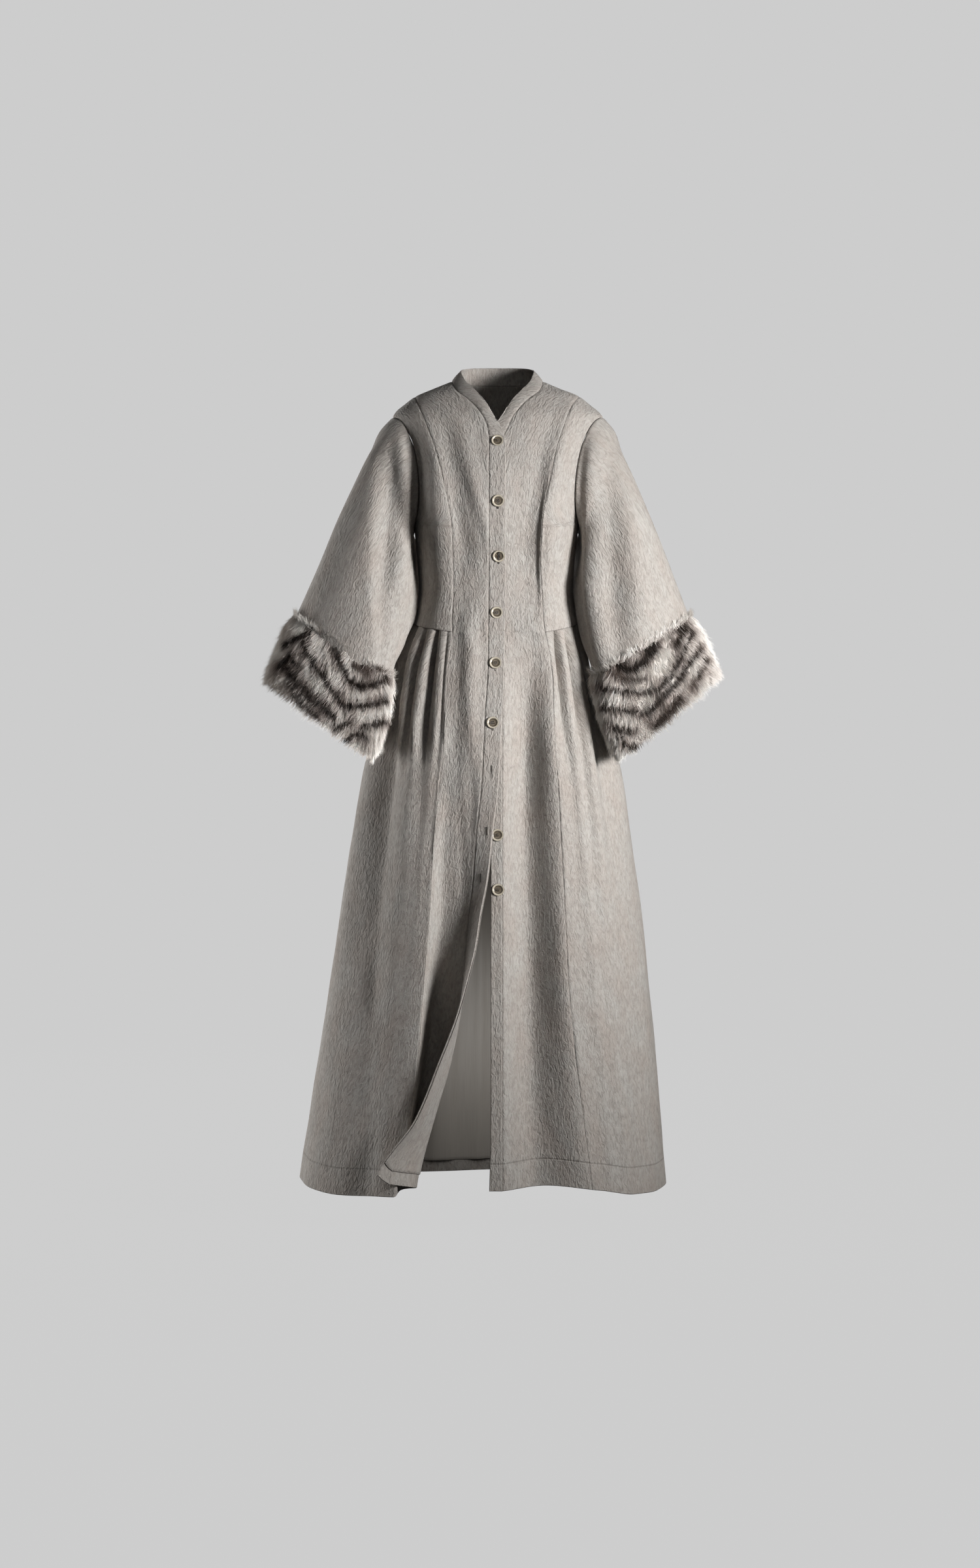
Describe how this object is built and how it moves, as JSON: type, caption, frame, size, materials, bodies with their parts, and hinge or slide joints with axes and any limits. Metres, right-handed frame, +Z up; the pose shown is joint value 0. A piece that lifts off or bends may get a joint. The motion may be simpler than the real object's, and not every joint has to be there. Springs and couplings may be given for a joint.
{
  "type": "long coat",
  "caption": "Floor-length fitted wool coat, filled out and hollow, with a stand collar, buttoned front, pleated side skirts and wide sleeves turned back in deep fur cuffs.",
  "frame": {"origin": "between the shoulders at neck level, inside the bodice, where a wearer's shoulders hold the coat up", "axes": "+Z up towards the collar, -Y out of the front, -X towards the wearer's right"},
  "size_m": [0.8217, 0.4639, 1.4839],
  "materials": {
    "wool": "greige brushed boiled wool, matt, with a fine vertical nap",
    "fur": "long cream fur with taupe and dark brown natural stripes",
    "satin": "grey-beige satin lining with a soft sheen",
    "horn": "mottled grey-brown horn, polished, with four holes"
  },
  "bodies": {
    "root": {"centre_front_right": "wool", "centre_front_left": "wool", "side_front_right": "wool", "side_front_left": "wool", "side_back_right": "wool", "side_back_left": "wool", "centre_back": "wool", "side_skirt_right": "wool", "side_skirt_left": "wool", "collar": "wool", "placket_right": "wool", "placket_left": "wool", "facing_right": "wool", "sleeve_right": "wool", "sleeve_left": "wool", "cuff_right": "fur", "cuff_left": "fur", "back_lining": "satin", "button_1": "horn", "button_2": "horn", "button_3": "horn", "button_4": "horn", "button_5": "horn", "button_6": "horn", "button_7": "horn", "button_8": "horn", "button_9": "horn"}
  },
  "joints": []
}
